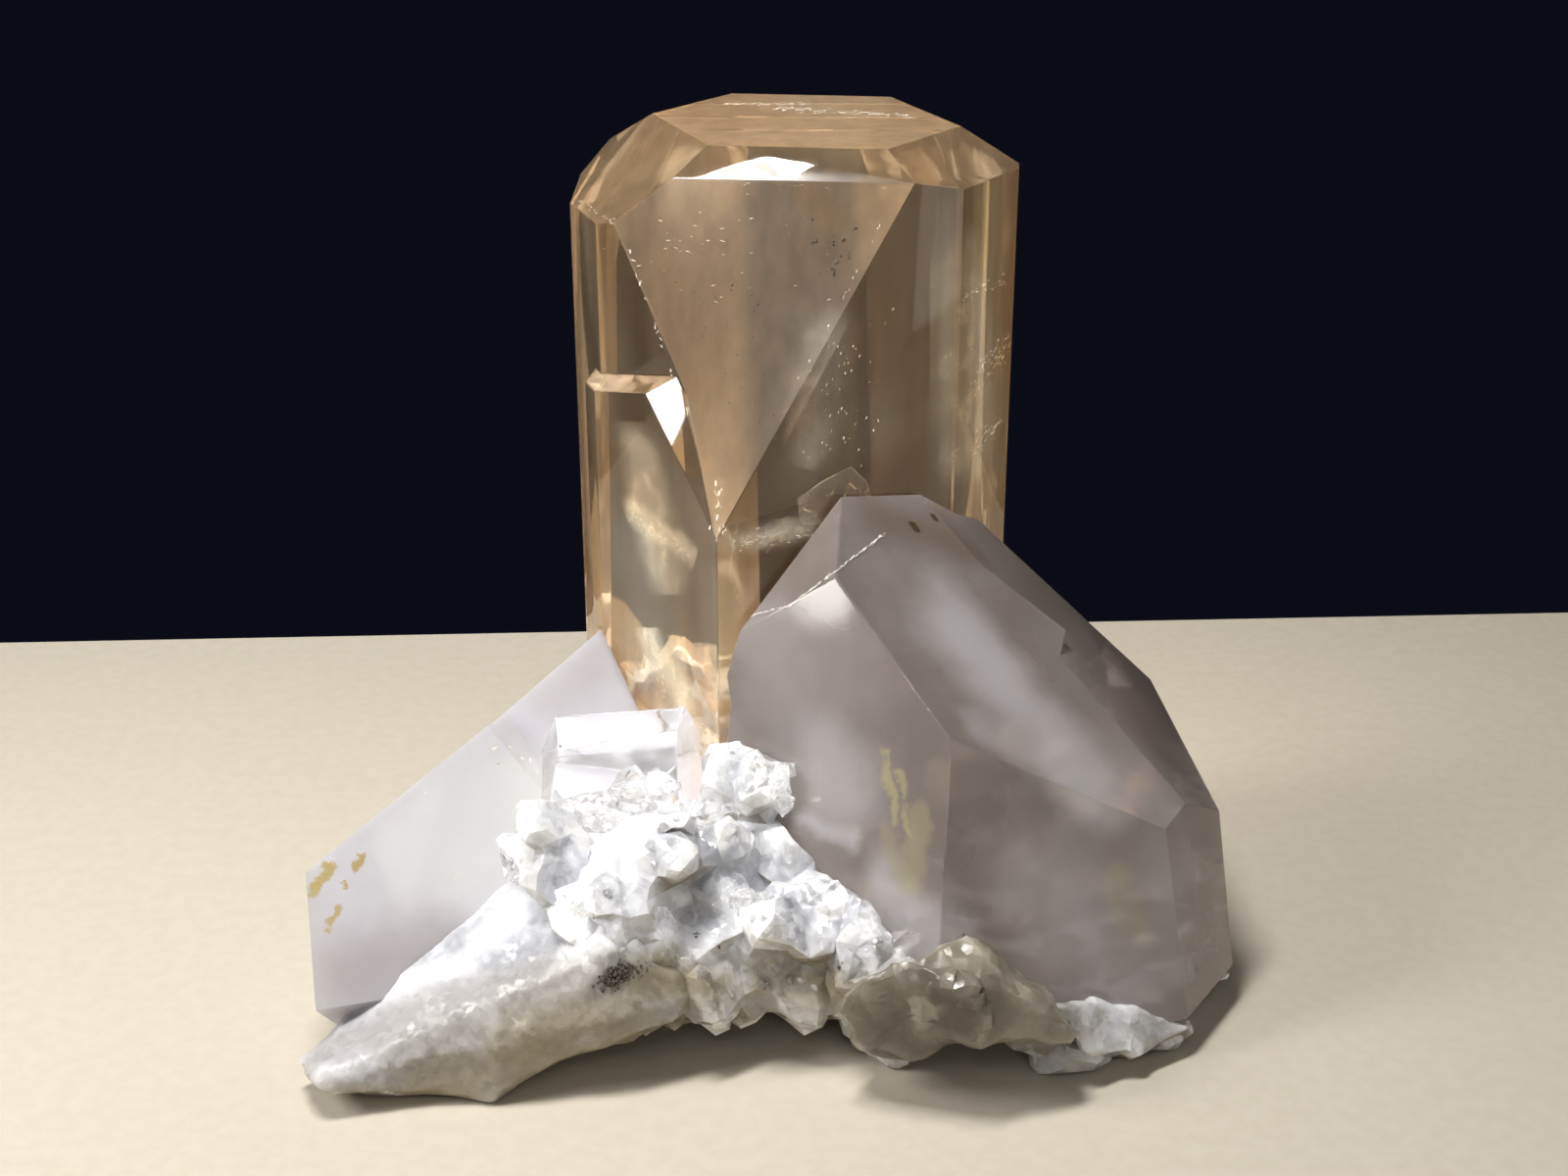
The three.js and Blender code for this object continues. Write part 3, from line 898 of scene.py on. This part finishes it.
def broken_ball(name, breaks, depths, chance):
    """A ball of 1 mm, broken off flat on several sides."""
    bpy.ops.object.select_all(action="DESELECT")
    bpy.ops.mesh.primitive_ico_sphere_add(subdivisions=1, radius=MM)
    ball = bpy.context.object
    ball.name = name
    edit_all(ball)
    for _ in range(breaks):
        out = any_direction(chance)
        bpy.ops.mesh.select_all(action="SELECT")
        bpy.ops.mesh.bisect(
            plane_co=out * chance.uniform(*depths) * MM, plane_no=out, use_fill=True, clear_outer=True,
        )
    done_editing()
    return ball


def place_piece(obj, at, turn, size):
    obj.data.transform(Matrix.Translation(at) @ turn @ Matrix.Diagonal((*size, 1)))


def join(name, objs):
    work_on(*objs)
    bpy.ops.object.join()
    objs[0].name = name
    return objs[0]


# Topaz

def cut_terraces(obj):
    """Low growth steps across the flat top."""
    top = max(corner.co.z for corner in obj.data.vertices)

    def on_top(face):
        return face.normal.z > TOP_LOOK and top - face.center.z < TOP_GAP * MM

    first = [face for face in obj.data.polygons if on_top(face)]
    corners = [obj.data.vertices[i].co.y for face in first for i in face.vertices]
    front, back = min(corners), max(corners)
    for share, lean in TERRACE_LINES:
        edit_faces(obj, on_top)
        bpy.ops.mesh.bisect(plane_co=(0, front + (back - front) * share, top), plane_no=(lean, 1, 0))
        done_editing()
    strips = sorted(face.center.y for face in obj.data.polygons if on_top(face))
    for number, drop in TERRACE_DROPS:
        middle = strips[number]
        edit_faces(obj, lambda face: on_top(face) and abs(face.center.y - middle) < STRIP_GAP * MM)
        bpy.ops.mesh.extrude_region_move(TRANSFORM_OT_translate={"value": (0, 0, -drop * MM)})
        done_editing()


def topaz_piece():
    obj = copy_of_solid("topaz_crystal", "topaz")
    ease_edges(obj, width=0.1, segments=2)
    cut_terraces(obj)
    smooth_by_angle(obj, 14)
    dress(obj, topaz_finish(obj))
    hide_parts("topaz_crystal")
    return obj


# Quartz

def quartz_piece(node, name, ease):
    obj = copy_of_solid(node, name)
    ease_edges(obj, width=ease, segments=2)
    smooth_by_angle(obj, 14)
    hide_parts(node)
    return obj


def hull_of(name, balls):
    """One tight skin around balls, each given by its place and how big it is."""
    parts = []
    for place, reach in balls:
        bpy.ops.object.select_all(action="DESELECT")
        bpy.ops.mesh.primitive_ico_sphere_add(subdivisions=1, radius=MM)
        part = bpy.context.object
        place_piece(part, place, Matrix(), (reach, reach, reach))
        parts.append(part)
    piece = join(name, parts)
    edit_all(piece)
    bpy.ops.mesh.convex_hull()
    done_editing()
    return piece


def matrix_body():
    """The white mass without its tongue, broken into small flat faces."""
    obj = copy_of_solid("quartz_matrix", "matrix")
    apply_modifier(obj, "REMESH", mode="VOXEL", voxel_size=0.35 * MM)
    apply_modifier(obj, "SMOOTH", factor=0.5, iterations=2)
    apply_modifier(obj, "DISPLACE", strength=0.2 * MM, mid_level=0)
    for place, look in TONGUE_ENDS:
        edit_all(obj)
        bpy.ops.mesh.bisect(plane_co=Vector(place) * MM, plane_no=look, use_fill=True, clear_outer=True)
        done_editing()
    break_in_scoops(obj, size=3, depth=1.3)
    roughen(obj, "CLOUDS", size=1.2, depth=0.7)
    apply_modifier(obj, "DECIMATE", ratio=0.12)
    ease_edges(obj, width=0.08, segments=1, angle=20)
    stand_flat(obj)
    smooth_by_angle(obj, 20)
    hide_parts("quartz_matrix")
    return obj


def matrix_tongue(form):
    """The smooth tongue at the front left, with shallow breaks."""
    balls = []
    for pixel, behind, reach in TONGUE:
        place, _ = seen_on(form, pixel)
        balls.append((place + sight(pixel) * behind * MM, reach))
    obj = hull_of("matrix_tongue", balls)
    apply_modifier(obj, "REMESH", mode="VOXEL", voxel_size=0.25 * MM)
    break_in_scoops(obj, size=5, depth=1)
    roughen(obj, "CLOUDS", size=1.5, depth=0.2)
    roughen(obj, "CLOUDS", size=0.6, depth=0.12)
    stand_flat(obj)
    smooth_by_angle(obj, 40)
    return obj


def broken_piece(name, corners):
    """A piece of the matrix between corners that the photograph shows, broken into flat faces."""
    balls = [(CAMERA_AT + sight(pixel) * away * MM, reach) for pixel, away, reach in corners]
    piece = hull_of(name, balls)
    apply_modifier(piece, "REMESH", mode="VOXEL", voxel_size=0.25 * MM)
    break_in_scoops(piece, size=3, depth=1)
    roughen(piece, "CLOUDS", size=1, depth=0.4)
    apply_modifier(piece, "DECIMATE", ratio=0.1)
    ease_edges(piece, width=0.06, segments=1, angle=20)
    stand_flat(piece)
    smooth_by_angle(piece, 20)
    return piece


def quartz_lump(name, on, pixel, size, sink, seed):
    """A lump of angular crystals grown together, sunk in a surface where the photograph shows it."""
    chance = random.Random(seed)
    place, _ = seen_on(on, pixel)
    middle = place + sight(pixel) * sink * MM
    crystals = []
    for _ in range(LUMP_CRYSTALS):
        shift = Vector([chance.uniform(-CRYSTAL_SHIFT, CRYSTAL_SHIFT) * reach * MM for reach in size])
        balls = []
        for _ in range(CRYSTAL_CORNERS):
            away = [CRYSTAL_REACH * step * reach * MM for step, reach in zip(any_direction(chance), size)]
            balls.append((middle + shift + Vector(away), CORNER_ROUND))
        crystals.append(hull_of(name, balls))
    piece = join(name, crystals)
    stand_flat(piece)
    smooth_by_angle(piece, 24)
    return piece


def thin_plate(name, on, pixels, behind, thickness):
    """A thin sheet behind a face, with the outline that the photograph shows."""
    balls = []
    for pixel in pixels:
        place, _ = seen_on(on, pixel)
        balls.append((place + sight(pixel) * behind * MM, thickness))
    piece = hull_of(name, balls)
    smooth_by_angle(piece, 30)
    return piece


def scatter_flakes(name, on, lines, drawn, flatness, seed):
    """Small flakes along lines that the photograph shows, drawn out along them, just behind a face."""
    chance = random.Random(seed)
    bpy.context.view_layer.update()
    spots = []
    for start, end, spread, behind, count, sizes in lines:
        way = sight(end) - sight(start)
        for _ in range(count):
            share = chance.random()
            pixel = [a + (b - a) * share + chance.gauss(0, spread) for a, b in zip(start, end)]
            hit, place, _, _ = on.ray_cast(CAMERA_AT, sight(pixel))
            at = place + sight(pixel) * chance.uniform(*behind) * MM
            reach = chance.uniform(*sizes)
            if hit:
                spots.append((at, reach, way))
    patterns = [broken_ball(name + "_pattern", 6, (0.5, 0.9), chance) for _ in range(4)]
    flakes = []
    for at, reach, way in spots:
        flake = copy_of(chance.choice(patterns), name)
        size = (reach * drawn, reach * chance.uniform(0.4, 1), reach * flatness)
        turn = any_turn(chance)
        if drawn > 1:
            lean = way.normalized() + any_direction(chance) * 0.4
            turn = lean.to_track_quat("X", "Z").to_matrix().to_4x4()
        place_piece(flake, at, turn, size)
        flakes.append(flake)
    throw_away(*patterns)
    return join(name, flakes)


def holds_grains(face):
    """The matrix's faces that look up, above its foot."""
    return face.normal.z > 0 and face.center.z > GRAINS_FROM * MM


def scatter_grains(name, on, wanted, count, sizes, seed):
    """Small angular grains that sit in a surface, each a copy of one of a few broken balls."""
    chance = random.Random(seed)
    patterns = [broken_ball(name + "_pattern", 9, (0.5, 0.85), chance) for _ in range(5)]
    faces = [face for face in on.data.polygons if wanted(face)]
    areas = [face.area for face in faces]
    grains = []
    for face in chance.choices(faces, weights=areas, k=count):
        grain = copy_of(chance.choice(patterns), name)
        reach = chance.uniform(*sizes)
        size = [reach * chance.uniform(0.7, 1.4) for _ in range(3)]
        place_piece(grain, face.center - face.normal * 0.2 * reach * MM, any_turn(chance), size)
        grains.append(grain)
    throw_away(*patterns)
    return join(name, grains)


# The specimen

topaz = topaz_piece()

smoky = quartz_piece("smoky_quartz_crystal", "smoky_quartz", 0.15)
dress(smoky, smoky_finish(smoky))

milky = quartz_piece("milky_quartz_crystal", "milky_quartz", 0.2)
dress(milky, milky_finish(milky))

clear = quartz_piece("clear_quartz_crystal", "clear_quartz", 0.1)
clear_finish = icy_finish("clear_quartz", 0.93, (0.95, 0.95, 0.98), WHITE, WHITE, lean=0, soft=0)
dress(clear, clear_finish)

matrix_form = copy_of_solid("quartz_matrix", "matrix_form")
matrix = matrix_body()
granular_finish = matrix_finish("granular_quartz", matrix_form, dull=0.12, lean=0.45)
dress(matrix, granular_finish)
tongue = matrix_tongue(matrix_form)
waxy_finish = matrix_finish("waxy_quartz", matrix_form, dull=0.36, lean=0.3)
dress(tongue, waxy_finish)
throw_away(matrix_form)

specimen_front = join("specimen_front", [copy_of(obj, "front") for obj in (matrix, tongue, smoky, clear)])
lump_finish = icy_finish(
    "glassy_quartz", 0.88, (0.62, 0.62, 0.65), (0.95, 0.95, 1), WHITE, lean=0.35, soft=0,
)
lumps = []
for number, lump in enumerate(LUMPS):
    piece = quartz_lump(f"quartz_lump_{number}", specimen_front, *lump, seed=100 + number)
    dress(piece, lump_finish)
    lumps.append(piece)

# The hanging lump: greyish quartz, darkened as painted shade under the rim
shade_darkened_finish = icy_finish(
    "greyish_quartz_darkened_as_shade", 0.6, (0.2, 0.17, 0.12), (0.32, 0.28, 0.21), TAN, lean=0.3, soft=0, dull=0.24,
)
dress(broken_piece("hanging_lump", HANGING_LUMP), shade_darkened_finish)
tan_finish = icy_finish(
    "tan_quartz", 0.4, (0.27, 0.24, 0.18), (0.42, 0.38, 0.3), TAN, lean=0.3, soft=0.5, dull=0.24,
)
dress(broken_piece("foot_wedge", FOOT_WEDGE), tan_finish)
dress(broken_piece("right_foot", RIGHT_FOOT), granular_finish)

dome_finish = icy_finish(
    "shell_broken_quartz", 0.9, (0.7, 0.7, 0.74), (0.95, 0.95, 1), WHITE, lean=0.6, soft=0,
)
glassy_dome = quartz_lump("glassy_dome", specimen_front, *GLASSY_DOME, seed=300)
dress(glassy_dome, dome_finish)
sliver = thin_plate("seam_sliver", specimen_front, SEAM_SLIVER, behind=0.1, thickness=0.2)
dress(sliver, lump_finish)

grains = scatter_grains("quartz_grains", matrix, holds_grains, count=300, sizes=(0.2, 0.5), seed=7)
dress(grains, lump_finish)
dark_finish = plain_finish("dark_mineral", (0.09, 0.075, 0.06), roughness=0.6)
dark_grains = scatter_flakes("dark_mineral", specimen_front, DARK_MINERAL, drawn=1, flatness=0.7, seed=8)
dress(dark_grains, dark_finish)
throw_away(specimen_front)

let_light_through(topaz, clear, glassy_dome, *lumps)

# Bright flakes: partly white inclusions, partly painted sparkle and painted highlights along the crystals'
# edges
flake_and_highlight_finish = plain_finish("flakes_and_painted_highlights", (1, 0.96, 0.88), roughness=0.15)
topaz_flakes_and_highlights = scatter_flakes("topaz_flakes_and_highlights", topaz, TOPAZ_FLAKES_AND_HIGHLIGHTS, drawn=2.5, flatness=0.2, seed=11)
dress(topaz_flakes_and_highlights, flake_and_highlight_finish)
milky_flakes_and_highlights = scatter_flakes("milky_flakes_and_highlights", milky, MILKY_FLAKES_AND_HIGHLIGHTS, drawn=1, flatness=0.2, seed=12)
dress(milky_flakes_and_highlights, flake_and_highlight_finish)
# painted highlights along the smoky quartz's edge
smoky_edge_highlights = scatter_flakes("smoky_painted_edge_highlights", smoky, SMOKY_EDGE_HIGHLIGHTS, drawn=4, flatness=0.3, seed=15)
dress(smoky_edge_highlights, flake_and_highlight_finish)
for number, (outline, line) in enumerate(TOPAZ_VEILS):
    veil = thin_plate(f"topaz_veil_{number}", topaz, outline, behind=0.5, thickness=0.02)
    dress(veil, veil_finish(topaz, number, line))
crack = thin_plate("healed_crack", topaz, HEALED_CRACK, behind=0.6, thickness=0.05)
dress(crack, dome_finish)
dark_dots = scatter_flakes("topaz_dots", topaz, TOPAZ_DOTS, drawn=1, flatness=0.3, seed=13)
dress(dark_dots, dark_finish)


# Studio: a pale floor that ends behind the specimen, soft lamps and a dark surround

# The floor: its width and depth and how far its middle lies before the specimen, in mm, and its turn
FLOOR_WIDTH = 800
FLOOR_DEPTH = 400
FLOOR_BEFORE = 158
FLOOR_TURN = math.radians(2.7)
# Lamps: where each stands, where it aims and how big it is, in mm, its power in watts and its colour
LAMPS = {
    "key": ((-31, -28, 190), (0, -5, 15), (30, 70), 0.34, (1, 0.98, 0.95)),
    "left_fill": ((-130, -55, 105), (-20, -10, 5), (60, 60), 0.16, (1, 0.98, 0.96)),
    "window": ((-8, -190, 158), (-8, -14, 17), (22, 22), 0.02, (0.97, 0.97, 1)),
    "left_spark": ((-120, -150, 130), (-8, -18, 10), (10, 10), 0.012, (1, 1, 1)),
    "right_spark": ((70, -200, 90), (-4, -18, 10), (10, 10), 0.012, (1, 1, 1)),
    "right_panel": ((240, -70, 70), (0, 0, 20), (150, 150), 0.04, (1, 0.95, 0.84)),
}


def floor():
    bpy.ops.object.select_all(action="DESELECT")
    bpy.ops.mesh.primitive_plane_add(size=1, location=(0, -FLOOR_BEFORE * MM, 0))
    sheet = bpy.context.object
    sheet.name = "floor"
    sheet.scale = (FLOOR_WIDTH * MM, FLOOR_DEPTH * MM, 1)
    sheet.rotation_euler.z = FLOOR_TURN
    bpy.ops.object.transform_apply(location=True, rotation=True, scale=True)
    material, tree, shader, position = new_finish("pale_floor")
    tone = use(tree, "cloud", {"Position": position, "Scale": 900, "Detail": 4, "Low": 0.3, "High": 0.7})
    colour = blend_colours(tree, tone, (0.55, 0.505, 0.41, 1), (0.58, 0.535, 0.44, 1))
    tree.links.new(colour, shader.inputs["Base Color"])
    set_plain(shader, Roughness=0.8)
    sheet.data.materials.append(material)


def lamp(name, at, aim, size, watts, colour):
    bpy.ops.object.light_add(type="AREA", location=Vector(at) * MM)
    light = bpy.context.object
    light.name = name
    light.data.shape = "ELLIPSE"
    light.data.size = size[0] * MM
    light.data.size_y = size[1] * MM
    light.data.energy = watts
    light.data.color = colour
    towards = Vector(aim) - Vector(at)
    light.rotation_euler = towards.to_track_quat("-Z", "Y").to_euler()


def camera():
    bpy.ops.object.camera_add(location=CAMERA_AT, rotation=(math.pi / 2 - CAMERA_DOWN, 0, 0))
    eye = bpy.context.object
    eye.data.sensor_width = SENSOR
    eye.data.lens = SENSOR * PHOTO_LENS / PHOTO_WIDTH
    eye.data.clip_start = 1 * MM
    bpy.context.scene.camera = eye


def surround():
    """Dark behind the specimen, a dim room on the camera's side."""
    world = bpy.data.worlds.new("dark_surround")
    world.use_nodes = True
    tree = world.node_tree
    back = tree.nodes["Background"]
    direction = put(tree, "TexCoord").outputs["Generated"]
    towards = put(tree, "VectorMath", {0: direction, 1: (0, -1, 0)}, operation="DOT_PRODUCT")
    room = put(tree, "MapRange", {
        "Value": towards.outputs["Value"], "From Min": -0.2, "From Max": 0.6,
    }, interpolation_type="SMOOTHSTEP")
    colour = blend_colours(tree, room.outputs[0], (0.0035, 0.004, 0.008, 1), (0.15, 0.145, 0.14, 1))
    tree.links.new(colour, back.inputs["Color"])
    bpy.context.scene.world = world
    bpy.context.scene.view_settings.view_transform = "Standard"


floor()
for name, (at, aim, size, watts, colour) in LAMPS.items():
    lamp(name, at, aim, size, watts, colour)
surround()
camera()
